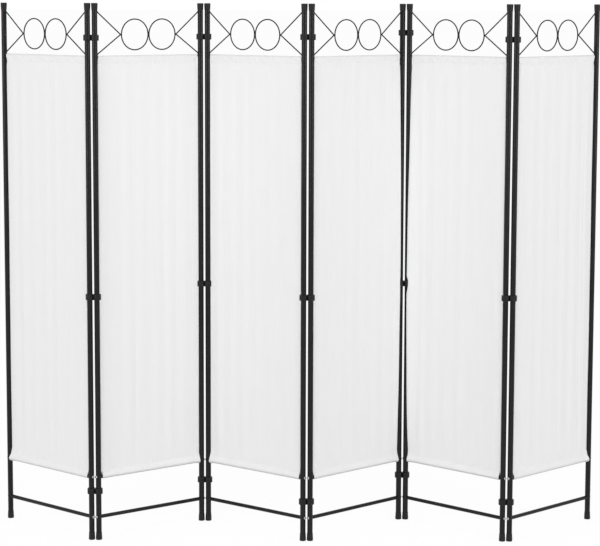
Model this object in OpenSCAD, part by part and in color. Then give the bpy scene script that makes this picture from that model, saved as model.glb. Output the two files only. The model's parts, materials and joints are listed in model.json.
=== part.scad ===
// Folding screen of six cloth panels in round steel frames, joined by plastic hinge clips.
// Millimetres. X runs along the screen, the front faces -Y and Z is up.
// The origin lies on the floor, at the centre of the standing screen's outline.
// A panel's own frame has its left post's axis at x = 0 and its right post's at x = post_pitch.

/* [Screen] */
// Height from the floor to the top of the caps
screen_h = 1700; // [1660:1:2000]
// Distance between the two post axes of a panel
post_pitch = 386; // [300:1:600]
// Turn of each panel from the line of the screen, in degrees, panels 1 to 3
turns_left = [-40, 35, -36.5]; // [-44:0.5:44]
// The same for panels 4 to 6
turns_right = [40, -40.5, 41.5]; // [-44:0.5:44]

/* [Posts] */
// Outer diameter of the post tubes
post_d = 17.5; // [15:0.1:20]
// Wall of the post tubes
post_wall = 0.7; // [0.5:0.1:1.2]
// Height at which the lower tube meets the upper one
post_joint_z = 782; // [600:1:1000]
// Length of the narrowed spigot that plugs into the upper tube
spigot_len = 45; // [20:1:80]
// Radial play of the spigot in the upper tube
spigot_play = 0.1; // [0.05:0.05:0.3]
// Length over which the lower tube's bore narrows
swage_len = 6; // [3:1:15]

/* [Caps and feet] */
// Diameter of a cap or foot at its rim
cap_d = 20.2; // [19.5:0.1:22]
// Height of a top cap
cap_h = 22; // [12:0.5:24]
// Height of a foot
foot_h = 24; // [12:0.5:40]
// Thickness of the closed end
cap_floor = 3; // [2:0.5:6]
// Wall of the skirt at its open end
skirt_wall = 0.5; // [0.3:0.1:0.9]
// Radial play of the tube in the skirt
skirt_play = 0.05; // [0.02:0.01:0.1]
// Height of the straight rim
rim_h = 7; // [4:0.5:10]
// Rounding of the rim's edge
rim_round = 1.2; // [0.5:0.1:1.8]

/* [Wire ornament] */
// Diameter of the ornament's wire
wire_d = 4; // [2.5:0.1:5]
// Outer diameter of a ring
ring_d = 100; // [70:1:130]
// Height of the ring centres and of the tips of the V wires
ornament_z = 1602; // [1590:1:1615]
// Height at which a V wire's upper arm meets the post
v_top_z = 1673; // [1650:1:1674]
// Height at which a V wire's lower arm meets the post
v_low_z = 1541; // [1540:1:1560]
// How far two welded wires sink into each other
weld_sink = 0.6; // [0.3:0.1:0.9]

/* [Rods and crossbar] */
// Outer diameter of the lower fabric rod and the crossbar
rod_d = 12; // [10:0.1:14]
// Outer diameter of the top rod
top_rod_d = 6; // [5:0.1:12]
// Wall of the rods and the crossbar
rod_wall = 0.8; // [0.5:0.1:1.5]
// Height of the rod in the cloth's upper sleeve
top_rod_z = 1533; // [1500:1:1534]
// Height of the rod in the cloth's lower sleeve
bottom_rod_z = 204; // [180:1:400]
// Height of the crossbar
crossbar_z = 74; // [40:1:100]
// Length of a threaded plug in a rod's end
plug_len = 12; // [10:1:25]
// Length of a peg that carries the top rod
peg_len = 12; // [6:1:25]
// Radial play of a peg in the top rod
peg_play = 0.15; // [0.05:0.05:0.4]

/* [Screws] */
// Diameter of a screw's shank
screw_d = 5; // [4:0.1:6]
// Diameter of a screw's head
screw_head_d = 9; // [8:0.1:10]
// Height of a screw's head beyond the post
screw_head_h = 1.8; // [1:0.1:2.2]
// Length of the shank within the plug
screw_grip = 9; // [6:0.5:9]
// Radial play of the shank in the post's holes
screw_play = 0.2; // [0.1:0.05:0.5]
// Radial play of the shank in the plug
thread_play = 0.05; // [0.02:0.01:0.1]
// Width of the cross recess's slots
recess_w = 0.9; // [0.6:0.1:1.2]
// Depth of the cross recess
recess_depth = 0.9; // [0.5:0.1:1]

/* [Cloth] */
// Thickness of the cloth
cloth_t = 1; // [0.6:0.1:1.5]
// Gap between the cloth's side edge and the post
cloth_gap = 2.5; // [1.5:0.1:8]
// Play between the sleeve and its rod
sleeve_play = 0.3; // [0.1:0.1:2]
// Depth of a sleeve, from the cloth's edge to the seam
sleeve_h = 25; // [20:0.5:40]
// Half depth of the shallow upright folds
fold_depth = 1.1; // [0.5:0.1:2.2]
// Number of folds across a panel
fold_count = 7; // [3:1:10]
// Width of the side hems
hem_w = 9; // [5:0.5:15]
// Thickness of a side hem
hem_t = 1.8; // [1.6:0.1:3]

/* [Hinge clips] */
// Gap between the two posts of a joint
clip_web = 5.2; // [4.8:0.1:10]
// Radial running play between a clip and a post
clip_play = 0.05; // [0.02:0.01:0.1]
// Wall of a clip's ring
clip_wall = 4.2; // [3:0.1:4.5]
// Height of a clip
clip_h = 18.5; // [12:0.5:24]
// Rounding of a clip's edges
clip_round = 1.8; // [0.5:0.1:2.5]
// Width of the mouth through which a ring is pushed onto its post, at the back
mouth_w = 13; // [10:0.5:14]
// Depth of the parting groove round a clip
groove_depth = 0.5; // [0.3:0.1:1]
// Width of the parting groove
groove_w = 1.2; // [0.8:0.1:2]
// Drop of the parting groove below the clip's middle
groove_drop = 1.4; // [0:0.1:3]
// Height of the upper clips
top_clip_z = 1593; // [1575:1:1625]
// Height of the middle clips
middle_clip_z = 783; // [500:1:1200]
// Height of the lower clips
low_clip_z = 128; // [110:1:150]
// How far the upper, middle and lower clip of joint 1-2 were pushed up
slip_12 = [0, -2, 30]; // [-10:1:35]
// The same for joint 2-3
slip_23 = [0, 8, 10]; // [-10:1:35]
// The same for joint 3-4
slip_34 = [4, -1, -1]; // [-10:1:35]
// The same for joint 4-5
slip_45 = [14, 7, 22]; // [-10:1:35]
// The same for joint 5-6
slip_56 = [-2, -1, -1]; // [-10:1:35]
// Clearance that the cloth leaves round a clip
clip_relief = 1; // [0.5:0.1:3]

/* [Hidden] */
$fn = 64;
sleeve_fn = 20;
eps = 0.01;
post_r = post_d / 2;
cap_r = cap_d / 2;
wire_r = wire_d / 2;
clip_pitch = post_d + clip_web;
clip_bore_r = post_r + clip_play;
clip_r = clip_bore_r + clip_wall;
spigot_r = post_r - post_wall - spigot_play;
skirt_bore_r = post_r + skirt_play;

// Ring centres, either side of the panel's middle, and the tips of the V wires
ring_offset = (ring_d - weld_sink) / 2;
v_tip_x = post_pitch / 2 - ring_offset - ring_d / 2 - wire_r + weld_sink;

// Cloth: its side edges, its sleeves' outer radii and its seams
cloth_x = post_r + cloth_gap;
cloth_w = post_pitch - 2 * cloth_x;
top_sleeve_r = top_rod_d / 2 + sleeve_play + cloth_t;
low_sleeve_r = rod_d / 2 + sleeve_play + cloth_t;
top_seam_z = top_rod_z + top_sleeve_r - sleeve_h;
bottom_seam_z = bottom_rod_z - low_sleeve_r + sleeve_h;
// How far the folded cloth runs on into a sleeve, to where the sleeve is wider than the folds
function seam_overlap(r) = (fold_depth + cloth_t) * (sleeve_h - r) / r;
steps_per_fold = 6;
fold_steps = steps_per_fold * fold_count;
// Distance from the side edges over which the folds fade in
fold_fade = 30;
// Share of the folds' depth that swells and fades across a panel, and how often it does so
fold_swell = 0.3;
swell_count = 2.5;
// Step of the folds' phase from one panel to the next, in degrees
fold_turn = 137.5;

// The standing zigzag, seen from above
turns = concat(turns_left, turns_right);
panels = len(turns);
clip_slips = [slip_12, slip_23, slip_34, slip_45, slip_56];
function heading(a) = [cos(a), sin(a)];
function clip_turn(j) = (turns[j - 1] + turns[j]) / 2;
function raw_left(i) = i == 1 ? [0, 0] : raw_right(i - 1) + clip_pitch * heading(clip_turn(i - 1));
function raw_right(i) = raw_left(i) + post_pitch * heading(turns[i - 1]);

// Outline of everything that stands, whose centre becomes the origin
function jaw_reach(j) =
    mouth_w / 2 * abs(sin(clip_turn(j))) + sqrt(pow(clip_r, 2) - pow(mouth_w / 2, 2)) * cos(clip_turn(j));
end_posts = [raw_left(1), raw_right(panels)];
joint_posts = [for (j = [1 : panels - 1]) each [raw_right(j), raw_left(j + 1)]];
low_x = min([for (p = end_posts) p.x - cap_r]);
high_x = max([for (p = end_posts) p.x + cap_r]);
low_y = min(concat([for (p = end_posts) p.y - cap_r], [for (p = joint_posts) p.y - clip_r]));
high_y = max(concat(
    [for (p = end_posts) p.y + cap_r],
    [for (p = joint_posts) p.y + cap_r],
    [for (j = [1 : panels - 1]) max(raw_right(j).y, raw_left(j + 1).y) + jaw_reach(j)]));
middle = [low_x + high_x, low_y + high_y] / 2;

panel_parts = [
    "left_post", "right_post", "crossbar", "fabric_rods", "fabric", "v_wires", "rings", "end_caps", "screws"
];

// Puts a panel's piece in its place in the zigzag
module on_panel(i) {
    foot = raw_left(i) - middle;
    translate([foot.x, foot.y, 0])
        rotate([0, 0, turns[i - 1]])
            children();
}

// A cylinder along X from x0 to x1 at height z
module bar(d, x0, x1, z) {
    translate([x0, 0, z])
        rotate([0, 90, 0])
            cylinder(d = d, h = x1 - x0);
}

// Repeats a left-hand piece on the panel's right side
module both_sides() {
    children();
    right_side() children();
}

module right_side() {
    translate([post_pitch, 0, 0])
        mirror([1, 0, 0])
            children();
}

// The post's own outline, which trims what is welded or screwed to it
module post_core() {
    translate([0, 0, -eps])
        cylinder(r = post_r, h = screen_h + 2 * eps);
}

module both_cores() {
    both_sides() post_core();
}

// Lower tube with its spigot, turned about the post's axis
module lower_tube() {
    spigot_top = post_joint_z + spigot_len;
    rotate_extrude()
        polygon([
            [post_r - post_wall, cap_floor],
            [post_r, cap_floor],
            [post_r, post_joint_z],
            [spigot_r, post_joint_z],
            [spigot_r, spigot_top - post_wall],
            [spigot_r - post_wall / 2, spigot_top],
            [spigot_r - post_wall, spigot_top],
            [spigot_r - post_wall, post_joint_z],
            [post_r - post_wall, post_joint_z - swage_len]
        ]);
}

// Upper tube with the welded peg that the top rod slips over
module upper_tube() {
    tube_top = screen_h - cap_floor;
    difference() {
        union() {
            translate([0, 0, post_joint_z])
                cylinder(r = post_r, h = tube_top - post_joint_z);
            bar(top_rod_d - 2 * (rod_wall + peg_play), 0, post_r + peg_len, top_rod_z);
        }
        translate([0, 0, post_joint_z - eps])
            cylinder(r = post_r - post_wall, h = tube_top - post_joint_z + 2 * eps);
    }
}

// A left post; its screw holes go through both walls
module post() {
    color("#2b2b2b") {
        difference() {
            lower_tube();
            for (z = [crossbar_z, bottom_rod_z])
                bar(screw_d + 2 * screw_play, -post_d, post_d, z);
        }
        upper_tube();
    }
}

// A rod between the posts, cut to their round; its ends are closed by threaded plugs if asked
module rod(d, z, plugged) {
    bore_d = d - 2 * rod_wall;
    difference() {
        bar(d, 0, post_pitch, z);
        if (plugged) {
            bar(bore_d, post_r + plug_len, post_pitch - post_r - plug_len, z);
            bar(screw_d + 2 * thread_play, -eps, post_pitch + eps, z);
        } else {
            bar(bore_d, -eps, post_pitch + eps, z);
        }
        both_cores();
    }
}

module crossbar() {
    color("#2b2b2b") rod(rod_d, crossbar_z, true);
}

module fabric_rods() {
    color("#2b2b2b") {
        rod(top_rod_d, top_rod_z, false);
        rod(rod_d, bottom_rod_z, true);
    }
}

// Section of a sleeve: a circle round the rod, drawn in to the seam at the given reach
module sleeve_section(r, reach) {
    touch = acos(r / reach);
    circle(r = r, $fn = sleeve_fn);
    polygon([[r * sin(touch), -r * cos(touch)], [-r * sin(touch), -r * cos(touch)], [0, -reach]]);
}

module sleeve(r) {
    reach = sleeve_h - r;
    inner_r = r - cloth_t;
    translate([cloth_x, 0, 0])
        rotate([90, 0, 90])
            linear_extrude(cloth_w)
                difference() {
                    sleeve_section(r, reach);
                    sleeve_section(inner_r, reach * inner_r / r);
                }
}

// Sideways offset of the cloth at x from its left edge: folds of uneven depth that fade at the hems
function fold(x, phase) =
    let (edge = min(x, cloth_w - x), share = 360 * x / cloth_w)
    fold_depth * min(1, edge / fold_fade) * sin(fold_count * share + phase)
        * (1 - fold_swell + fold_swell * sin(swell_count * share + 2 * phase));

// Half thickness of the cloth at x: doubled cloth along the side hems
function half_t(x) = min(x, cloth_w - x) <= hem_w ? hem_t / 2 : cloth_t / 2;

module folded_cloth(phase) {
    xs = [for (k = [0 : fold_steps]) cloth_w * k / fold_steps];
    front = [for (x = xs) [x, fold(x, phase) - half_t(x)]];
    back = [for (x = xs) [cloth_w - x, fold(cloth_w - x, phase) + half_t(cloth_w - x)]];
    low_z = bottom_seam_z - seam_overlap(low_sleeve_r);
    high_z = top_seam_z + seam_overlap(top_sleeve_r);
    translate([cloth_x, 0, low_z])
        linear_extrude(high_z - low_z)
            polygon(concat(front, back));
}

// Room for a middle clip beside the cloth
module clip_room(j) {
    translate([0, 0, middle_clip_z + clip_slips[j - 1][1] - clip_h / 2 - clip_relief])
        cylinder(r = clip_r + clip_relief, h = clip_h + 2 * clip_relief);
}

module fabric(i) {
    color("#f1f1f0")
        difference() {
            union() {
                translate([0, 0, top_rod_z]) sleeve(top_sleeve_r);
                translate([0, 0, bottom_rod_z]) mirror([0, 0, 1]) sleeve(low_sleeve_r);
                folded_cloth(fold_turn * i);
            }
            if (i > 1)
                clip_room(i - 1);
            if (i < panels)
                right_side() clip_room(i);
        }
}

module ring_at(x) {
    translate([x, 0, ornament_z])
        rotate([90, 0, 0])
            rotate_extrude()
                translate([ring_d / 2 - wire_r, 0])
                    circle(r = wire_r);
}

module rings() {
    color("#2b2b2b")
        for (s = [-1, 1])
            ring_at(post_pitch / 2 + s * ring_offset);
}

// One arm of a left V wire, from its tip to the post's axis, through height z at the post's face
module v_arm(z) {
    run = v_tip_x - post_r;
    rise = z - ornament_z;
    arm = v_tip_x / run * [-run, rise];
    translate([v_tip_x, 0, ornament_z])
        rotate([0, atan2(arm.x, arm.y), 0])
            cylinder(r = wire_r, h = norm(arm));
}

module v_wire() {
    difference() {
        union() {
            v_arm(v_top_z);
            v_arm(v_low_z);
            translate([v_tip_x, 0, ornament_z])
                sphere(r = wire_r);
        }
        post_core();
        ring_at(post_pitch / 2 - ring_offset);
    }
}

module v_wires() {
    color("#2b2b2b") both_sides() v_wire();
}

// A cap for a post's end, standing on its closed end: straight rim, then tapered to the skirt
module end_cap(h) {
    skirt_r = skirt_bore_r + skirt_wall;
    rotate_extrude()
        difference() {
            union() {
                polygon([[0, 0], [cap_r - rim_round, 0], [cap_r, rim_round], [cap_r, rim_h], [skirt_r, h], [0, h]]);
                translate([cap_r - rim_round, rim_round])
                    intersection() {
                        circle(r = rim_round);
                        translate([0, -rim_round])
                            square(rim_round);
                    }
            }
            translate([-eps, cap_floor])
                square([skirt_bore_r + eps, h]);
        }
}

module end_caps() {
    color("#1e1e1e")
        both_sides() {
            end_cap(foot_h);
            translate([0, 0, screen_h]) mirror([0, 0, 1]) end_cap(cap_h);
        }
}

// A pan-head screw through the left post; its head is shaped to the tube under it
module screw(z) {
    head_x = -post_r - screw_head_h;
    difference() {
        union() {
            bar(screw_d, -post_r, post_r + screw_grip, z);
            difference() {
                translate([head_x, 0, z])
                    rotate([0, 90, 0])
                        rotate_extrude()
                            polygon([
                                [0, 0],
                                [screw_head_d / 2 - screw_head_h / 2, 0],
                                [screw_head_d / 2, screw_head_h / 2],
                                [screw_head_d / 2, -head_x],
                                [0, -head_x]
                            ]);
                post_core();
            }
        }
        for (a = [0, 90])
            translate([head_x, 0, z])
                rotate([a, 0, 0])
                    cube([2 * recess_depth, screw_head_d / 2, recess_w], center = true);
    }
}

module screws() {
    color("silver")
        both_sides()
            for (z = [crossbar_z, bottom_rod_z])
                screw(z);
}

// Outline of a clip seen from above: one circle round each post
module clip_outline(r) {
    for (x = [0, clip_pitch])
        translate([x, 0])
            circle(r = r);
}

// One ring of a clip, with rounded edges, centred in height
module clip_ring() {
    half = clip_h / 2;
    rotate_extrude() {
        translate([0, -half])
            square([clip_r - clip_round, clip_h]);
        translate([0, clip_round - half])
            square([clip_r, clip_h - 2 * clip_round]);
        for (s = [-1, 1])
            translate([clip_r - clip_round, s * (half - clip_round)])
                circle(r = clip_round);
    }
}

// A clip with its first ring on the origin and its second towards +X; the mouths face +Y
module clip() {
    difference() {
        for (x = [0, clip_pitch])
            translate([x, 0, 0])
                clip_ring();
        translate([0, 0, -groove_drop - groove_w / 2])
            linear_extrude(groove_w)
                difference() {
                    clip_outline(clip_r + groove_depth);
                    clip_outline(clip_r - groove_depth);
                }
        for (x = [0, clip_pitch])
            translate([x, 0, -clip_h]) {
                cylinder(r = clip_bore_r, h = 2 * clip_h);
                translate([-mouth_w / 2, 0, 0])
                    cube([mouth_w, 2 * clip_r, 2 * clip_h]);
            }
    }
}

// The three clips between panels j and j + 1
module clips(j) {
    foot = raw_right(j) - middle;
    heights = [top_clip_z, middle_clip_z, low_clip_z] + clip_slips[j - 1];
    color("#1e1e1e")
        for (z = heights)
            translate([foot.x, foot.y, z])
                rotate([0, 0, clip_turn(j)])
                    clip();
}

for (i = [1 : panels]) {
    on_panel(i) post();
    on_panel(i) right_side() post();
    on_panel(i) crossbar();
    on_panel(i) fabric_rods();
    on_panel(i) fabric(i);
    on_panel(i) v_wires();
    on_panel(i) rings();
    on_panel(i) end_caps();
    on_panel(i) screws();
}
for (j = [1 : panels - 1])
    clips(j);
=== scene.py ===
import json
import math
import bpy
import numpy as np
from mathutils import Matrix, Vector

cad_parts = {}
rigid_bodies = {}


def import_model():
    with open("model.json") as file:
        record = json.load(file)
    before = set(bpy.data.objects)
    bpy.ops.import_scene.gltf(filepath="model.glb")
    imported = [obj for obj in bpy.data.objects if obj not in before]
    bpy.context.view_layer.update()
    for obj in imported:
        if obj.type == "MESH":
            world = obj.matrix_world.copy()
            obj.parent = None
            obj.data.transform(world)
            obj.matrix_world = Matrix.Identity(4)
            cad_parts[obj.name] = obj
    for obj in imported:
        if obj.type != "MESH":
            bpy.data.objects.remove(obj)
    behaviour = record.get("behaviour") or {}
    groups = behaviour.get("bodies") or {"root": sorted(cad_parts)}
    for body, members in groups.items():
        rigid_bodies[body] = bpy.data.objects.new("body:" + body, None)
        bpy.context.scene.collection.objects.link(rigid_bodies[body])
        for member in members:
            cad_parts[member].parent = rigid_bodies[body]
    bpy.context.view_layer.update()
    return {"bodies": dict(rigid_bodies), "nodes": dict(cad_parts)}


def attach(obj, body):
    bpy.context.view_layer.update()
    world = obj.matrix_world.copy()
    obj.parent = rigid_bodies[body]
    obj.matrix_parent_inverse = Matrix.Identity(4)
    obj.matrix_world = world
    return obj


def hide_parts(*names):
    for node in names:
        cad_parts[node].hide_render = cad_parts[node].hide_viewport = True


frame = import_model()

# Folding screen: six white cloths on black tube frames. Lengths in the dictionaries are in millimetres.
mm = 0.001
nodes = frame["nodes"]
panelNames = sorted(name for name in frame["bodies"] if name.startswith("panel_"))
clipNames = sorted(name for name in frame["bodies"] if name.startswith("clips_"))
for leftOver in [o for o in bpy.data.objects if o.name in ("Cube", "Light", "Camera")]:
    bpy.data.objects.remove(leftOver)
print("frame loaded:", len(panelNames), "panels and", len(clipNames), "sets of clips")


def linear(hexText):  # an sRGB hex value as linear red, green, blue and alpha
    parts = [int(hexText[k:k + 2], 16) / 255 for k in (1, 3, 5)]
    return [c / 12.92 if c <= 0.04045 else ((c + 0.055) / 1.055) ** 2.4 for c in parts] + [1]


def smooth(t):  # eases from 0 to 1: three t squared less two t cubed
    t = np.clip(t, 0, 1)
    return t * t * (3 - 2 * t)


def addNode(tree, kind, links=None, **settings):
    # one node; a link is a value for an input or another node's output
    node = tree.nodes.new(kind)
    for name, value in settings.items():
        setattr(node, name, value)
    for name, value in (links or {}).items():
        if isinstance(value, bpy.types.NodeSocket):
            tree.links.new(value, node.inputs[name])
        else:
            node.inputs[name].default_value = value
    return node


def newMaterial(name, shader):
    # a material with one Principled shader whose constant values are set on its own sockets
    material = bpy.data.materials.new(name)
    material.use_nodes = True
    tree = material.node_tree
    tree.nodes.clear()
    surface = addNode(tree, "ShaderNodeBsdfPrincipled", shader)
    output = addNode(tree, "ShaderNodeOutputMaterial", {"Surface": surface.outputs[0]})
    return material, tree, surface, output


camera = {
    "place": (-0.0275, -5.8655, 1.7065),  # metres
    "tippedDown": 6.16, "turned": -0.26, "rolled": 0.17,  # degrees
    "lens": 110.95, "shiftY": -0.12, "farthest": 500,  # the last one in metres
}


def makeCamera():
    # The camera's own axes: ahead from pitch and yaw, right and up turned about it by the roll
    pitch, yaw, roll = (math.radians(camera[k]) for k in ("tippedDown", "turned", "rolled"))
    ahead = Vector((-math.sin(yaw) * math.cos(pitch), math.cos(yaw) * math.cos(pitch), -math.sin(pitch)))
    level = Vector((math.cos(yaw), math.sin(yaw), 0))
    upward = level.cross(ahead)
    right = level * math.cos(roll) + upward * math.sin(roll)
    up = upward * math.cos(roll) - level * math.sin(roll)
    lens = bpy.data.cameras.new("photoCamera")
    lens.lens, lens.shift_y = camera["lens"], camera["shiftY"]
    lens.clip_end = camera["farthest"]
    eye = bpy.data.objects.new("photoCamera", lens)
    eye.matrix_world = Matrix.Translation(camera["place"]) @ Matrix((right, up, -ahead)).transposed().to_4x4()
    bpy.context.scene.collection.objects.link(eye)
    bpy.context.scene.camera = eye


makeCamera()
print("camera placed")


def gridMesh(name, points, uv=None, attributes=None):
    # a mesh from a grid of points, rows by columns by xyz: each face joins a point to the next one in its
    # row and to the two above them
    rows, columns = points.shape[:2]
    r, c = np.meshgrid(np.arange(rows - 1), np.arange(columns - 1), indexing="ij")
    first = r * columns + c
    corners = np.stack([first, first + 1, first + columns + 1, first + columns], -1).reshape(-1, 4)
    return faceMesh(name, points.reshape(-1, 3), corners, uv, attributes)


def faceMesh(name, points, corners, uv=None, attributes=None):
    # a smooth mesh from points and four-cornered faces, with its UV map and point attributes
    mesh = bpy.data.meshes.new(name)
    mesh.vertices.add(len(points))
    mesh.vertices.foreach_set("co", np.ascontiguousarray(points, np.float32).ravel())
    mesh.loops.add(corners.size)
    mesh.loops.foreach_set("vertex_index", corners.ravel().astype(np.int32))
    mesh.polygons.add(len(corners))
    mesh.polygons.foreach_set("loop_start", np.arange(0, corners.size, 4, dtype=np.int32))
    mesh.update(calc_edges=True)
    mesh.polygons.foreach_set("use_smooth", np.ones(len(corners), bool))
    if uv is not None:
        layer = mesh.uv_layers.new(name="clothUV")
        layer.data.foreach_set("uv", uv.reshape(-1, 2)[corners.ravel()].astype(np.float32).ravel())
    for key, values in (attributes or {}).items():
        attribute = mesh.attributes.new(key, "FLOAT", "POINT")
        attribute.data.foreach_set("value", values.astype(np.float32).ravel())
    mesh.validate()
    return mesh


def newPiece(name, mesh, material):
    piece = bpy.data.objects.new(name, mesh)
    piece.data.materials.append(material)
    bpy.context.scene.collection.objects.link(piece)
    return piece


studio = {
    "floorWidth": 700,  # metres
    "floorColour": "#f2f2f2", "floorRoughness": 0.9, "floorGloss": 0.1,
    "floorLevel": 1.02, "floorShare": 0.9,  # strength of the floor's plain white, and its share in what shows
    "roomLevel": 0.655, "roomColour": "#ffffff",
    "lamps": [  # place, aim, width, height in metres, watts
        ("keyLamp", (-4.3, -3.6, 1.9), (0, 0, 1.5), 0.4, 2.6, 52),
        ("fillLamp", (4.3, -3.6, 1.9), (0, 0, 1.5), 0.4, 2.6, 50),
        ("topLamp", (0, -2.3, 3.4), (0, 0, 1.2), 3.6, 0.8, 24.5),
        ("backLamp", (0.6, 4.8, 3.0), (0, 0, 0.9), 3.6, 2.2, 40),
    ],
}


def backdropShare(tree):
    # 1 for rays that show the backdrop: from the camera, off gloss or through glass
    path = addNode(tree, "ShaderNodeLightPath").outputs
    either = addNode(tree, "ShaderNodeMath", {0: path["Is Camera Ray"], 1: path["Is Glossy Ray"]},
                     operation="MAXIMUM")
    return addNode(tree, "ShaderNodeMath", {0: either.outputs[0], 1: path["Is Transmission Ray"]},
                   operation="MAXIMUM").outputs[0]


def makeStudio():
    # White matt floor: it shows as plain white to the camera, less the shadows of what stands on it
    material, tree, surface, output = newMaterial("mattWhiteFloor", {
        "Base Color": linear(studio["floorColour"]), "Roughness": studio["floorRoughness"],
        "Specular IOR Level": studio["floorGloss"]})
    glow = addNode(tree, "ShaderNodeEmission", {"Strength": studio["floorLevel"]})
    share = addNode(tree, "ShaderNodeMath", {0: backdropShare(tree), 1: studio["floorShare"]},
                    operation="MULTIPLY")
    mixed = addNode(tree, "ShaderNodeMixShader", {
        0: share.outputs[0], 1: surface.outputs[0], 2: glow.outputs[0]})
    tree.links.new(mixed.outputs[0], output.inputs["Surface"])
    half = studio["floorWidth"] / 2
    side = np.array([-half, half])
    x, y = np.meshgrid(side, side)
    floor = newPiece("floor", gridMesh("floor", np.stack([x, y, np.zeros_like(x)], -1)), material)

    world = bpy.data.worlds.new("studioRoom")
    world.use_nodes = True
    tree = world.node_tree
    tree.nodes.clear()
    light = addNode(tree, "ShaderNodeBackground", {
        "Color": linear(studio["roomColour"]), "Strength": studio["roomLevel"]})
    white = addNode(tree, "ShaderNodeBackground", {"Color": (1, 1, 1, 1), "Strength": 1.0})
    mixed = addNode(tree, "ShaderNodeMixShader", {
        0: backdropShare(tree), 1: light.outputs[0], 2: white.outputs[0]})
    addNode(tree, "ShaderNodeOutputWorld", {"Surface": mixed.outputs[0]})
    bpy.context.scene.world = world

    for name, place, aim, width, height, watts in studio["lamps"]:
        lamp = bpy.data.lights.new(name, "AREA")
        lamp.shape, lamp.size, lamp.size_y, lamp.energy = "RECTANGLE", width, height, watts
        holder = bpy.data.objects.new(name, lamp)
        holder.location = place
        holder.rotation_euler = (Vector(aim) - Vector(place)).to_track_quat("-Z", "Y").to_euler()
        bpy.context.scene.collection.objects.link(holder)
    bpy.context.scene.view_settings.view_transform = "Standard"


makeStudio()
print("floor, room light and lamps made")


def twoTone(tree, surface, cloud, look):
    # The cloud's value picks the colour, from dark to light over its span
    colour = addNode(tree, "ShaderNodeValToRGB", {"Fac": cloud})
    for stop, position, key in zip(colour.color_ramp.elements, look["span"], ("dark", "light")):
        stop.position, stop.color = position, linear(look[key])
    tree.links.new(colour.outputs["Color"], surface.inputs["Base Color"])


usualNoise = (0.3, 0.7)  # nearly all values of a noise lie between these


def mottle(tree, surface, cloud, look):
    # The cloud's value picks the colour and, from low to high, the roughness
    twoTone(tree, surface, cloud, look)
    low, high = look["roughness"]
    rough = addNode(tree, "ShaderNodeMapRange", {
        "Value": cloud, "From Min": usualNoise[0], "From Max": usualNoise[1], "To Min": low, "To Max": high})
    tree.links.new(rough.outputs[0], surface.inputs["Roughness"])


def emboss(tree, surface, height, look):
    # The height raises the surface by up to the look's depth
    bump = addNode(tree, "ShaderNodeBump", {
        "Height": height, "Strength": look["bump"], "Distance": look["depth"] * mm})
    tree.links.new(bump.outputs[0], surface.inputs["Normal"])


# Polyester powder coat on steel: the powder is sprayed on dry and melted in an oven, which leaves a satin
# black skin with a fine orange peel. The peel's real grain of about 1 mm is drawn at 2 mm, so that it shows.
powderSkin = {"gloss": 0.25, "span": (0.35, 0.65), "bump": 0.25, "depth": 0.12}
powderCoats = {
    "postPowderCoat": {
        "dark": "#0b0b0b", "light": "#121212", "roughness": (0.16, 0.24), "peel": 2.0, "patch": 60},
    "rodPowderCoat": {
        "dark": "#0b0b0b", "light": "#121212", "roughness": (0.3, 0.4), "peel": 2.0, "patch": 40},
    "wirePowderCoat": {
        "dark": "#0c0c0c", "light": "#131313", "roughness": (0.3, 0.4), "peel": 1.4, "patch": 25},
}


def powderCoat(name):
    look = {**powderSkin, **powderCoats[name]}
    material, tree, surface, _ = newMaterial(name, {"IOR": 1.5, "Specular IOR Level": look["gloss"]})
    place = addNode(tree, "ShaderNodeTexCoord").outputs["Object"]
    patch = addNode(tree, "ShaderNodeTexNoise", {
        "Vector": place, "Scale": 1 / (look["patch"] * mm), "Detail": 3.0})
    peel = addNode(tree, "ShaderNodeTexNoise", {
        "Vector": place, "Scale": 1 / (look["peel"] * mm), "Detail": 1.0})
    mottle(tree, surface, patch.outputs["Fac"], look)
    emboss(tree, surface, peel.outputs["Fac"], look)
    return material


# Polypropylene, injection moulded in a spark-eroded mould: soft black with a fine even grain, a little
# duller than the paint. The grain's real size of about 0.4 mm is drawn at 0.9 mm, so that it shows.
mouldSkin = {"gloss": 0.3, "span": (0.3, 0.7), "bump": 0.3, "depth": 0.1, "grain": 0.9, "flow": 12}
mouldedPlastics = {
    "mouldedCapPolypropylene": {"dark": "#0d0d0d", "light": "#151515", "roughness": (0.4, 0.52)},
    "mouldedClipPolypropylene": {"dark": "#0b0b0b", "light": "#121212", "roughness": (0.36, 0.5)},
}


def mouldedPlastic(name):
    look = {**mouldSkin, **mouldedPlastics[name]}
    material, tree, surface, _ = newMaterial(name, {"IOR": 1.49, "Specular IOR Level": look["gloss"]})
    place = addNode(tree, "ShaderNodeTexCoord").outputs["Object"]
    grain = addNode(tree, "ShaderNodeTexVoronoi", {"Vector": place, "Scale": 1 / (look["grain"] * mm)})
    flow = addNode(tree, "ShaderNodeTexNoise", {
        "Vector": place, "Scale": 1 / (look["flow"] * mm), "Detail": 4.0})
    mottle(tree, surface, flow.outputs["Fac"], look)
    emboss(tree, surface, grain.outputs["Distance"], look)
    return material


# Steel with a bright zinc plate, dipped in a passivating bath: pale grey metal with faint cloudy patches of
# about 3 mm.
zincPlate = {
    "dark": "#b9b8b3", "light": "#d6d6d4", "span": (0, 1), "roughness": (0.24, 0.4), "cloud": 3,
    "bump": 0.15, "depth": 0.1,
}


def zincPlatedSteel():
    material, tree, surface, _ = newMaterial("zincPlatedSteel", {"Metallic": 1.0})
    place = addNode(tree, "ShaderNodeTexCoord").outputs["Object"]
    cloud = addNode(tree, "ShaderNodeTexNoise", {
        "Vector": place, "Scale": 1 / (zincPlate["cloud"] * mm), "Detail": 3.0})
    mottle(tree, surface, cloud.outputs["Fac"], zincPlate)
    emboss(tree, surface, cloud.outputs["Fac"], zincPlate)
    return material


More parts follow.
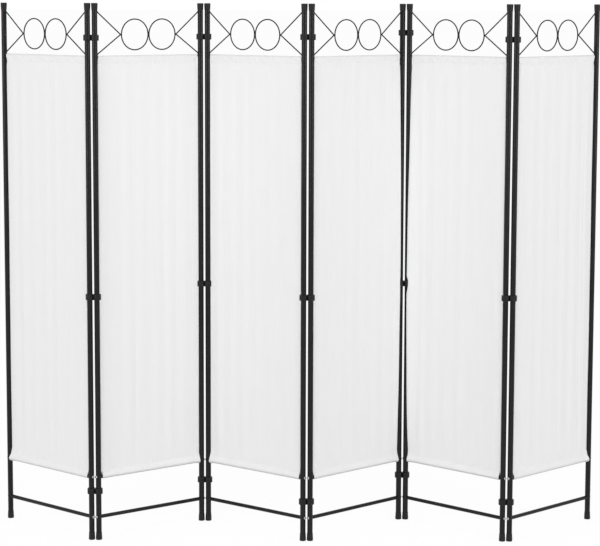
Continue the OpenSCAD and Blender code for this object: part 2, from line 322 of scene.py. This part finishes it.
# Polyester, plain woven and piece dyed white: matt, with a faint sheen at a glancing angle, thicker threads
# that run the length of the cloth, and a painted grey where it lies on a black rod: the rod seen through
# the thin cloth, and along the bottom sleeve's lower edge painted shade of the cloth curving under.
# The real threads lie 0.25 mm apart; they are drawn 0.8 mm apart, so that they show from a step away.
weave = {
    # the second colour is painted: the grey of the black rod seen through the thin cloth, and the shade under
    # the bottom sleeve's lower edge
    "white": "#f1f1f1", "rodGreyAndShade": "#9c9c9c",
    "slubDark": 0.985, "slubSpan": (0.35, 0.65), "slubWidth": 1.6, "slubLength": 90,  # thicker threads
    "roughness": 0.85, "sheen": 0.12, "sheenRoughness": 0.5, "gloss": 0.25,
    "thread": 0.8, "bump": 0.5, "depth": 0.06,
}


def wovenPolyester():
    material, tree, surface, _ = newMaterial("wovenPolyester", {
        "Roughness": weave["roughness"], "Sheen Weight": weave["sheen"],
        "Sheen Roughness": weave["sheenRoughness"], "Specular IOR Level": weave["gloss"]})
    place = addNode(tree, "ShaderNodeUVMap", uv_map="clothUV").outputs[0]
    # Thread crowns: the size of the product of two sines, one across and one along, half a wave to a thread
    parts = addNode(tree, "ShaderNodeSeparateXYZ", {0: place})
    waves = []
    for axis in ("X", "Y"):
        turn = addNode(tree, "ShaderNodeMath", {0: parts.outputs[axis], 1: math.pi / (weave["thread"] * mm)},
                       operation="MULTIPLY")
        waves.append(addNode(tree, "ShaderNodeMath", {0: turn.outputs[0]}, operation="SINE").outputs[0])
    product = addNode(tree, "ShaderNodeMath", {0: waves[0], 1: waves[1]}, operation="MULTIPLY")
    crown = addNode(tree, "ShaderNodeMath", {0: product.outputs[0]}, operation="ABSOLUTE")
    # Thicker threads: noise drawn out along the cloth
    drawnOut = addNode(tree, "ShaderNodeMapping", {
        "Vector": place, "Scale": (1 / (weave["slubWidth"] * mm), 1 / (weave["slubLength"] * mm), 1)})
    slub = addNode(tree, "ShaderNodeTexNoise", {"Vector": drawnOut.outputs[0], "Scale": 1.0, "Detail": 2.0})
    # Painted grey and shade over the rods, mixed into the white: the rod seen through the cloth, and the
    # shade under the bottom sleeve's edge
    paintedRodGreyAndShade = addNode(tree, "ShaderNodeAttribute", attribute_name="paintedRodGreyAndShade").outputs["Fac"]
    # Inputs 6 and 7 and output 2 are the mix's colours
    tone = addNode(tree, "ShaderNodeMix", {0: paintedRodGreyAndShade, 6: linear(weave["white"]), 7: linear(weave["rodGreyAndShade"])},
                   data_type="RGBA")
    low, high = weave["slubSpan"]
    shade = addNode(tree, "ShaderNodeMapRange", {
        "Value": slub.outputs["Fac"], "From Min": low, "From Max": high,
        "To Min": weave["slubDark"], "To Max": 1.0})
    colour = addNode(tree, "ShaderNodeVectorMath", {0: tone.outputs[2], 3: shade.outputs[0]},
                     operation="SCALE")
    tree.links.new(colour.outputs[0], surface.inputs["Base Color"])
    emboss(tree, surface, crown.outputs[0], weave)
    return material


# Spun polyester sewing thread: matt white, its two plies twisted together every millimetre or so.
threadSpun = {"dark": "#e3e3e1", "light": "#f6f6f5", "span": (0, 1), "ply": 1, "roughness": 0.8, "sheen": 0.1}


def sewingThread():
    material, tree, surface, _ = newMaterial("spunPolyesterThread", {
        "Roughness": threadSpun["roughness"], "Sheen Weight": threadSpun["sheen"]})
    place = addNode(tree, "ShaderNodeTexCoord").outputs["Object"]
    ply = addNode(tree, "ShaderNodeTexNoise", {
        "Vector": place, "Scale": 1 / (threadSpun["ply"] * mm), "Detail": 1.0})
    twoTone(tree, surface, ply.outputs["Fac"], threadSpun)
    return material


postPaint, rodPaint, wirePaint = (powderCoat(name) for name in powderCoats)
capPlastic, clipPlastic = (mouldedPlastic(name) for name in mouldedPlastics)
clothWeave, thread = wovenPolyester(), sewingThread()
finishes = {  # what each part of a panel is finished with
    "left_post": postPaint, "right_post": postPaint, "crossbar": postPaint, "fabric_rods": rodPaint,
    "v_wires": wirePaint, "rings": wirePaint, "end_caps": capPlastic, "screws": zincPlatedSteel(),
    "fabric": clothWeave,
}
for panel in panelNames:
    for part, finish in finishes.items():
        nodes[panel + "_" + part].data.materials[0] = finish
for clip in clipNames:
    nodes[clip].data.materials[0] = clipPlastic
print("materials made and put on the packed nodes")


def nodePoints(name):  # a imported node's points as rows of x, y and z
    points = np.empty(len(nodes[name].data.vertices) * 3, np.float32)
    nodes[name].data.vertices.foreach_get("co", points)
    return points.reshape(-1, 3).astype(float)


def postAxis(name):  # the middle of a post's lowest ring of points
    points = nodePoints(name)
    low = points[points[:, 2] < points[:, 2].min() + 0.1 * mm]
    return (low.min(0)[:2] + low.max(0)[:2]) / 2


def panelFrame(panel):
    # where a panel stands: its left post's axis, the direction to its right post, its back and its pitch
    left, right = postAxis(panel + "_left_post"), postAxis(panel + "_right_post")
    pitch = np.linalg.norm(right - left)
    along = (right - left) / pitch
    return left, along, np.array([-along[1], along[0]]), pitch


def toWorld(place, x, y, z):
    # a point x along the panel, y behind it and z up, all in millimetres
    left, along, back, _ = place
    x, y, z = np.broadcast_arrays(x, y, z)
    flat = left + mm * (x[..., None] * along + y[..., None] * back)
    return np.concatenate([flat, mm * z[..., None]], -1)


cloth = {
    # the cut: post's axis to side edge, thickness, side hem, distance between folded layers, seam allowance
    "edge": 11.25, "thickness": 0.4, "hemWidth": 9, "layer": 0.5, "allowance": 7,
    "topRod": (1533, 4.05, 20.7), "bottomRod": (204, 7.05, 17.7),  # height, sleeve radius, rod to seam
    "arcPoints": 60, "step": 0.25, "seamRounding": 3,  # how finely the side line is drawn and rounded
    # main folds across the width, and how they fade at the side edges and at the seams
    "foldDepth": 1.1, "foldCount": 7, "foldTurn": 137.5, "foldSwell": 0.3, "swellCount": 2.5,
    "foldFade": 30, "foldAtSeam": 0.3, "foldGrowth": 80, "sleeveFade": 5,
    # wrinkles: their number, widths, height over width, and share left at a side edge
    "wrinkles": 12, "shortest": 9, "longest": 34, "widthSpread": (0.9, 1.1), "slope": 0.004,
    "wrinkleAtEdge": 0.25, "wrinkleSeed": 40,
    "drifts": ((0.25, 260), (0.1, 90)),  # share of a wrinkle's width that it drifts, and over what height
    "patchHeight": 210, "patchWidth": 47, "patchLevel": 0.45,  # where wrinkles come and go
    # how strong folds and wrinkles are on each panel, and at the bottom and at the top of the cloth
    "panelDepth": (1.0, 0.55, 1.1, 1.2, 1.1, 1.3), "lowDepth": 1.5, "highDepth": 0.85,
    # puckers along the seams and slanting creases in the top sleeve, each of an uneven width
    "pucker": 0.5, "puckerWidth": 13, "puckerReach": 14, "puckerStart": 2, "puckerSeed": 90,
    "puckerWobble": ((1.7, 31), (1.1, 13)),
    "crease": 1.2, "creaseWidth": 46, "creaseSlant": 0.9, "creaseWobble": ((2.1, 57), (1.3, 19)),
    "hemEase": 3, "stackReach": 14, "stackLayers": 2.1,  # where folded hems lie on each other at a seam
    # painted grey over the rods: the rod seen through the cloth at the top and the bottom, and at the bottom
    # also painted shade under the sleeve's lower edge
    "rodGreyAndPaintedShade": ((0.25, 6), (1.0, 8)),  # how grey over the top and the bottom rod, and over what length
    # how the side edges wander, and how far into the cloth a move of the edge is felt
    "edgeWander": 0.5, "wanderShare": 0.6, "wanderHeights": (140, 53), "leastWander": -0.6, "edgeZone": 40,
    # how far a sleeve's end stops short of the cloth's side edge, at the near and the far post of a panel
    "topInset": (-2.0, 2.75), "bottomInset": (1.2, -1.4), "endInset": -6.0, "insetReach": 9,
    "puff": 2.0, "puffWidth": 12,  # the bottom sleeve's ends stand off the rod at the far posts
    "postClear": 9.3, "clipClear": 13.9, "clipBand": 34, "bandFade": 20,  # room round a post and a clip
}
# Panels 4 and 5 have a slack edge where they meet: it hangs forward and reaches over the post by these
# amounts, times the sine of half a turn by the height's share, the share to the power lean and the sine to
# the power given
slackEdges = {
    4: {"side": 1, "forward": 9.5, "reach": 1.6, "lean": 1.0, "power": 0.6},
    5: {"side": 0, "forward": 9.5, "reach": 6.1, "lean": 0.75, "power": 0.8},
}


def sleeveLoop(rodZ, r, reach, up):
    # section of a sleeve from the seam up its front, round the rod and down its back to the seam: an arc
    # round the rod between the two lines that touch it from the seam; up is 1 at the top and -1 at the bottom
    touch = math.acos(r / reach)
    angle = np.linspace(touch, 2 * math.pi - touch, cloth["arcPoints"])
    seam = rodZ - up * reach
    y = np.concatenate([[0], -r * np.sin(angle), [cloth["layer"]]])
    z = np.concatenate([[seam], rodZ - up * r * np.cos(angle), [seam]])
    return y, z


def clothPath():
    # The cloth's line seen from the side: allowance, bottom sleeve, sheet, top sleeve and allowance, as
    # evenly spaced points whose corners are rounded by a running mean, with the lengths at the four seams
    topY, topZ = sleeveLoop(*cloth["topRod"], 1)
    lowY, lowZ = sleeveLoop(*cloth["bottomRod"], -1)
    y = np.concatenate([[cloth["layer"]], lowY[::-1], topY, [cloth["layer"]]])
    z = np.concatenate([[lowZ[-1] + cloth["allowance"]], lowZ[::-1], topZ, [topZ[-1] - cloth["allowance"]]])
    length = np.concatenate([[0], np.cumsum(np.hypot(np.diff(y), np.diff(z)))])
    seams = [length[1], length[len(lowY)], length[len(lowY) + 1], length[-2]]
    even = np.arange(0, length[-1], cloth["step"])
    window = np.hanning(int(cloth["seamRounding"] / cloth["step"]) + 3)
    half = len(window) // 2
    rounded = []
    for values in (np.interp(even, length, y), np.interp(even, length, z)):
        before = 2 * values[0] - values[half:0:-1]
        after = 2 * values[-1] - values[-2:-half - 2:-1]
        rounded.append(np.convolve(np.concatenate([before, values, after]), window / window.sum(), "valid"))
    y, z = rounded[0][:len(even)], rounded[1][:len(even)]
    dy, dz = np.gradient(y), np.gradient(z)
    run = np.hypot(dy, dz)
    return {"s": even, "y": y, "z": z, "outY": -dz / run, "outZ": dy / run, "seams": seams}


path = clothPath()
backLow, frontLow, frontTop, backTop = path["seams"]


def foldedSheet(x, z, width, seed):
    # How far the cloth lies behind its middle plane, in millimetres. Main folds: a sine across the width
    # whose depth swells and fades slowly. Wrinkles: many shorter sines that drift sideways and come and go
    # with height. Both grow evenly from the top down
    phase = math.radians(cloth["foldTurn"] * seed)
    share = 2 * math.pi * x / width
    edge = np.minimum(x, width - x)
    fade = np.clip(edge / cloth["foldFade"], 0, 1)
    swell = cloth["foldSwell"] * np.sin(cloth["swellCount"] * share + 2 * phase)
    main = cloth["foldDepth"] * np.sin(cloth["foldCount"] * share + phase) * (1 - cloth["foldSwell"] + swell)
    random = np.random.default_rng(cloth["wrinkleSeed"] + seed)
    (wide, slow), (narrow, quick) = cloth["drifts"]
    level, atEdge = cloth["patchLevel"], cloth["wrinkleAtEdge"]
    fine = np.zeros(np.broadcast(x, z).shape)
    for wave in np.geomspace(cloth["shortest"], cloth["longest"], cloth["wrinkles"]):
        wave *= random.uniform(*cloth["widthSpread"])
        start, drift, rise, up, along = random.uniform(0, 2 * math.pi, 5)
        shift = wide * wave * np.sin(z / slow + drift) + narrow * wave * np.sin(z / quick + rise)
        patch = np.sin(z / cloth["patchHeight"] + up) * np.sin(x / cloth["patchWidth"] + along)
        strength = level + (1 - level) * patch
        fine = fine + cloth["slope"] * wave * strength * np.sin(2 * math.pi * (x + shift) / wave + start)
    low, high = cloth["lowDepth"], cloth["highDepth"]
    depth = cloth["panelDepth"][seed - 1] * (low + (high - low) * z / cloth["topRod"][0])
    return depth * fade * main, depth * (atEdge + (1 - atEdge) * fade) * fine


def sideEdge(panel, seed, s, y, z, outY):
    # How the cloth's two side edges lie at s, as rows for the left and the right one: how far inward they
    # are moved, how far forward they hang and how far the sleeve stands off its rod. The inward move is a
    # slow double sine, the sleeve's own inset and the reach of a slack edge; then the edge is kept outside a
    # circle round the post, which is wider where a clip sits
    slow, quick = cloth["wanderHeights"]
    wave = np.sin(z / slow + seed) + cloth["wanderShare"] * np.sin(z / quick + 2 * seed)
    wander = np.maximum(cloth["edgeWander"] * wave, cloth["leastWander"])
    atTop = np.exp(-(np.maximum(frontTop - s, 0) / cloth["insetReach"]) ** 2)
    atBottom = np.exp(-(np.maximum(s - frontLow, 0) / cloth["insetReach"]) ** 2)
    share = np.clip((s - frontLow) / (frontTop - frontLow), 0, 1)
    moves, hangs, puffs = [], [], []
    for side in (0, 1):
        far = int(side != panel["near"])
        lowInset = cloth["bottomInset"][far] if panel["clips"][side] else cloth["endInset"]
        move = wander + cloth["topInset"][far] * atTop + lowInset * atBottom
        puff = far * cloth["puff"] * atBottom
        hang = 0 * z
        slack = slackEdges.get(seed)
        if slack and slack["side"] == side:
            swing = np.abs(np.sin(math.pi * share ** slack["lean"])) ** slack["power"]
            hang, move = slack["forward"] * swing, move - slack["reach"] * swing
        clear = cloth["postClear"] + 0 * z
        if panel["clips"][side]:
            band = smooth((cloth["clipBand"] - np.abs(z - panel["clips"][side])) / cloth["bandFade"])
            clear = np.maximum(clear, cloth["clipClear"] * band)
        away = y + puff * outY - hang
        need = np.sqrt(np.maximum(clear ** 2 - away ** 2, 0))
        moves.append(np.maximum(move, need - cloth["edge"]))
        hangs.append(hang)
        puffs.append(puff)
    return moves, hangs, puffs


def unevenPace(x, width, wobbles, random):
    # The phase of a sine whose waves are about width wide, which slower sines make uneven
    phase = 2 * math.pi * x / width
    for swing, length in wobbles:
        phase = phase + swing * np.sin(x / length + random.uniform(0, 6))
    return phase


def clothPoint(panel, seed, x, s, lift):
    # A point of the cloth: x across it and s along it, lifted off its face by lift. The face's own height is
    # the folds and wrinkles, which die out at the seams, and the puckers that the stitching gathers there
    place = panel["place"]
    width = place[3] / mm - 2 * cloth["edge"]
    y, z, outY, outZ = (np.interp(s, path["s"], path[key]) for key in ("y", "z", "outY", "outZ"))
    inSheet = np.minimum(s - frontLow, frontTop - s)
    behind = np.maximum(backLow - s, s - backTop)
    atSeam, fade = cloth["foldAtSeam"], cloth["sleeveFade"]
    grow = atSeam + (1 - atSeam) * smooth(np.maximum(inSheet, behind) / cloth["foldGrowth"])
    front = np.where(inSheet >= 0, grow, atSeam * np.exp(np.minimum(inSheet, 0) / fade))
    rear = np.where(behind >= 0, grow, atSeam * np.exp(np.minimum(behind, 0) / fade))
    main, fine = foldedSheet(x, z, width, seed)
    height = (rear - front) * (main + fine)
    # Puckers: a sine of uneven pace along the seam, strongest at the stitches
    away = np.minimum(np.abs(inSheet), np.abs(behind))
    random = np.random.default_rng(cloth["puckerSeed"] + seed)
    pace = unevenPace(x, cloth["puckerWidth"], cloth["puckerWobble"], random)
    rise = np.exp(-away / cloth["puckerReach"]) * (1 - np.exp(-away / cloth["puckerStart"]))
    height = height + cloth["pucker"] * np.sin(pace) * rise
    # Folded side hems lie in four layers at the seams, so the back layer stands off there
    edge = np.minimum(x, width - x)
    ease, reach = cloth["hemEase"], cloth["stackReach"]
    stack = smooth((cloth["hemWidth"] + ease - edge) / ease) * smooth((behind + reach) / reach)
    height = height + cloth["stackLayers"] * cloth["layer"] * stack + lift
    # Slanting creases in the top sleeve, between the seam and the rod: a sine of uneven pace, whose outward
    # half alone is kept
    slant = unevenPace(x, cloth["creaseWidth"], cloth["creaseWobble"], random)
    slant = slant + 2 * math.pi * cloth["creaseSlant"] * (s - frontTop) / cloth["creaseWidth"]
    up = np.clip(np.minimum(s - frontTop, backTop - s) / cloth["topRod"][2], 0, 1)
    height = height + cloth["crease"] * np.maximum(np.sin(slant), 0) ** 2 * np.sin(math.pi * up)
    # The side edges: moved inward, hanging forward and standing off the bottom rod, all fading into the cloth
    left = x < width / 2
    moves, hangs, puffs = sideEdge(panel, seed, s, y, z, outY)
    zone = smooth(1 - edge / cloth["edgeZone"])
    height = height + np.where(left, puffs[0], puffs[1]) * np.exp(-(edge / cloth["puffWidth"]) ** 2)
    x = x + zone * np.where(left, moves[0], -moves[1])
    y = y - zone * np.where(left, hangs[0], hangs[1])
    return toWorld(place, cloth["edge"] + x, y + height * outY, z + height * outZ)


clothRows = {
    "face": 168, "turn": 4,  # columns: on the face and round a folded edge
    "hem": (1, 0.7, 0.4, 0.15),  # columns across a hem, as shares of its width
    "flap": 4, "sleeve": 37, "sheet": 78,  # rows: in an allowance, round a rod, in the even part of the sheet
    "besideSeam": (3, 6, 10, 15, 21, 29, 39, 51, 65), "evenFrom": 80,  # ever wider apart, then even
}


def clothGrid(width):
    # Across: the left hem from its inner edge out, a half turn, the face, a half turn and the right hem.
    # Along: close rows round the sleeves, wider ones in the sheet
    layer, flap, sleeve = cloth["layer"], clothRows["flap"], clothRows["sleeve"]
    turn = np.linspace(0, math.pi, clothRows["turn"] + 2)[1:-1]
    hemX = cloth["hemWidth"] * np.array(clothRows["hem"])
    turnX = layer / 2 * (1 - np.sin(turn))
    turnLift = -layer / 2 * (1 + np.cos(turn))
    face = np.linspace(layer / 2, width - layer / 2, clothRows["face"])
    x = np.concatenate([hemX, turnX, face, width - turnX[::-1], width - hemX[::-1]])
    lift = np.concatenate([-layer + 0 * hemX, turnLift, 0 * face, turnLift[::-1], -layer + 0 * hemX])
    near, evenFrom = np.array(clothRows["besideSeam"]), clothRows["evenFrom"]
    s = np.concatenate([
        np.linspace(0, backLow, flap)[:-1], np.linspace(backLow, frontLow, sleeve)[:-1],
        [frontLow], frontLow + near,
        np.linspace(frontLow + evenFrom, frontTop - evenFrom, clothRows["sheet"]),
        frontTop - near[::-1], [frontTop],
        np.linspace(frontTop, backTop, sleeve)[1:], np.linspace(backTop, path["s"][-1], flap)[1:]])
    return x, lift, s


def makeCloth(name, panel, seed):
    # The sheet of points with its threads' UV map and its painted grey over the rods: a bell curve about each
    # rod's place along the cloth, for the rod seen through the cloth and, at the bottom, painted shade under
    # the sleeve's lower edge
    width = panel["place"][3] / mm - 2 * cloth["edge"]
    x, lift, s = clothGrid(width)
    points = clothPoint(panel, seed, x[None, :], s[:, None], lift[None, :])
    uv = np.stack(np.broadcast_arrays(mm * (x - lift)[None, :], mm * s[:, None]), -1)
    middles = (frontTop + backTop) / 2, (backLow + frontLow) / 2
    # painted grey and shade: a bell curve over the top rod and a stronger one over the bottom rod
    rodGreyAndPaintedShade = sum(grey * np.exp(-((s - middle) / reach) ** 2)
                   for middle, (grey, reach) in zip(middles, cloth["rodGreyAndPaintedShade"]))
    shade = np.broadcast_to(rodGreyAndPaintedShade[:, None], points.shape[:2])
    mesh = gridMesh(name + "_cloth", points[:, ::-1], uv=uv[:, ::-1], attributes={"paintedRodGreyAndShade": shade[:, ::-1]})
    piece = newPiece(name + "_cloth", mesh, clothWeave)
    wall = piece.modifiers.new("clothThickness", "SOLIDIFY")
    wall.thickness, wall.offset = cloth["thickness"] * mm, 0
    return piece


stitching = {
    "seamPitch": 3.2, "hemPitch": 4.0, "share": 0.78,  # a stitch covers this share of its pitch
    "radius": 0.16, "taper": (0.75, 1, 1, 0.75), "rise": 0.256, "dip": 0.096, "proud": 0.02,
    "hemInset": 2.0, "seamStart": 2, "hemStart": 3,
}


def stitchRow(panel, seed, start, step, count, lift):
    # A row of stitches: each is a thin tube of four sides whose ends dip into the cloth. Its middle line
    # takes up its share of a step, and its lift is a half sine over the stitch, less the dip
    t = np.linspace(0, 1, len(stitching["taper"]))
    k = np.arange(count)
    offset = (k[:, None] + 0.5 + stitching["share"] * (t[None, :] - 0.5))[..., None]
    line = np.asarray(start, float) + offset * np.asarray(step, float)
    sign = 1 if lift > 0 else -1
    arch = sign * (stitching["rise"] * np.sin(math.pi * t) - stitching["dip"])[None, :]
    angle = (np.arange(4) + 0.5) * math.pi / 2
    thick = stitching["radius"] * np.array(stitching["taper"])[None, :, None]
    across = np.array([-step[1], step[0]]) / np.linalg.norm(step)
    x = line[..., 0][..., None] + thick * np.cos(angle) * across[0]
    s = line[..., 1][..., None] + thick * np.cos(angle) * across[1]
    up = lift + arch[..., None] + thick * np.sin(angle)
    return clothPoint(panel, seed, x, s, np.broadcast_to(up, x.shape))


def makeStitches(name, panel, seed):
    # Lockstitches along both seams and both side hems, on the face and on the back
    width = panel["place"][3] / mm - 2 * cloth["edge"]
    face = cloth["thickness"] / 2 + stitching["proud"]
    seamStart, hemStart = stitching["seamStart"], stitching["hemStart"]
    seamCount = int((width - 2 * seamStart) / stitching["seamPitch"])
    hemCount = int((frontTop - frontLow - 2 * hemStart) / stitching["hemPitch"])
    inset = cloth["hemWidth"] - stitching["hemInset"]
    rows = [stitchRow(panel, seed, (seamStart, s), (stitching["seamPitch"], 0), seamCount, face)
            for s in (backLow, frontLow, frontTop, backTop)]
    for x in (inset, width - inset):
        for lift in (face, -face - cloth["layer"]):
            start = x, frontLow + hemStart
            rows.append(stitchRow(panel, seed, start, (0, stitching["hemPitch"]), hemCount, lift))
    points = np.concatenate(rows)
    count, rings, sides = points.shape[:3]
    first = np.arange(count)[:, None, None] * rings * sides
    ring, side = np.arange(rings - 1)[None, :, None] * sides, np.arange(sides)[None, None, :]
    a, b = first + ring + side, first + ring + (side + 1) % sides
    walls = np.stack([a, b, b + sides, a + sides], -1).reshape(-1, 4)
    ends = np.concatenate([
        first[:, 0] + np.array([3, 2, 1, 0]), first[:, 0] + (rings - 1) * sides + np.arange(4)])
    mesh = faceMesh(name + "_stitches", points.reshape(-1, 3), np.concatenate([walls, ends]))
    return newPiece(name + "_stitches", mesh, thread)


welds = {
    "ringZ": 1602, "ringDiameter": 100, "wireDiameter": 4.0, "sink": 0.6, "postRadius": 8.75,
    "armZ": (1673, 1541), "offPost": 0.3,
    "ringBead": (2.6, 2.6, 5.6), "tipBead": (3.3, 2.7, 3.7), "postBead": (2.2, 3.3, 3.7),
    "ripple": 0.06, "ripples": (5, 2), "phaseStep": 1.7, "rows": 11, "columns": 16, "poleMerge": 0.01,
}


def bead(centre, radii, tilt, phase):
    # A weld bead: an ellipsoid whose radius ripples as the puddle froze, turned by tilt about the panel's
    # depth axis
    u, v = np.meshgrid(np.linspace(0, math.pi, welds["rows"]),
                       np.linspace(0, 2 * math.pi, welds["columns"] + 1)[:-1], indexing="ij")
    down, around = welds["ripples"]
    swell = 1 + welds["ripple"] * np.sin(u) * np.sin(down * u + phase) * np.cos(around * v + phase)
    a = radii[0] * swell * np.sin(u) * np.cos(v)
    b = radii[1] * swell * np.sin(u) * np.sin(v)
    c = radii[2] * swell * np.cos(u)
    x = centre[0] + a * math.cos(tilt) + c * math.sin(tilt)
    z = centre[1] - a * math.sin(tilt) + c * math.cos(tilt)
    return np.stack([x, b, z], -1)


def makeWelds(panel, place):
    # Beads where the rings touch, at the tips of the V wires and where their arms meet the posts
    half = place[3] / mm / 2
    offset = (welds["ringDiameter"] - welds["sink"]) / 2
    tip = half - offset - welds["ringDiameter"] / 2 - welds["wireDiameter"] / 2 + welds["sink"]
    joints = [(half, welds["ringZ"], welds["ringBead"], 0)]
    for z in welds["armZ"]:
        lean = math.atan2(z - welds["ringZ"], tip - welds["postRadius"])
        off = welds["offPost"]
        joints.append((welds["postRadius"] + off, z - off * math.tan(lean), welds["postBead"], lean / 3))
    joints.append((tip + welds["wireDiameter"] / 2, welds["ringZ"], welds["tipBead"], 0))
    joints += [(2 * half - x, z, radii, -tilt) for x, z, radii, tilt in joints[1:]]
    beads = np.stack([bead((x, z), radii, tilt, welds["phaseStep"] * k)
                      for k, (x, z, radii, tilt) in enumerate(joints)])
    points = toWorld(place, beads[..., 0], beads[..., 1], beads[..., 2])
    count, rows, columns = points.shape[:3]
    r, c = np.meshgrid(np.arange(rows - 1), np.arange(columns), indexing="ij")
    cell = np.stack([r * columns + c, (r + 1) * columns + c, (r + 1) * columns + (c + 1) % columns,
                     r * columns + (c + 1) % columns], -1).reshape(-1, 4)
    corners = (np.arange(count)[:, None, None] * rows * columns + cell).reshape(-1, 4)
    mesh = faceMesh(panel + "_welds", points.reshape(-1, 3), corners)
    piece = newPiece(panel + "_welds", mesh, wirePaint)
    poles = piece.modifiers.new("closedPoles", "WELD")
    poles.merge_threshold = welds["poleMerge"] * mm
    return piece


clipSearch = {"above": 400, "below": 1200}  # the heights between which only the middle clip lies


def middleClip(name):  # the height of the middle clip of a set, in millimetres
    z = nodePoints(name)[:, 2] / mm
    z = z[(z > clipSearch["above"]) & (z < clipSearch["below"])]
    return float(z.min() + z.max()) / 2


clipHeights = [0] + [middleClip(name) for name in clipNames] + [0]  # none at the screen's two ends
for number, name in enumerate(panelNames, 1):
    place = panelFrame(name)
    # which of its posts stands nearer the front, and the height of the middle clip on each
    panel = {"place": place, "near": int(place[1][1] <= 0), "clips": clipHeights[number - 1:number + 1]}
    sheet = makeCloth(name, panel, number)
    stitches = makeStitches(name, panel, number)
    beads = makeWelds(name, place)
    for piece, slot in ((sheet, "cloth"), (stitches, "cloth"), (beads, "wire_paint")):
        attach(piece, name)
    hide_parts(name + "_fabric")
print("cloths, stitches and weld beads made")
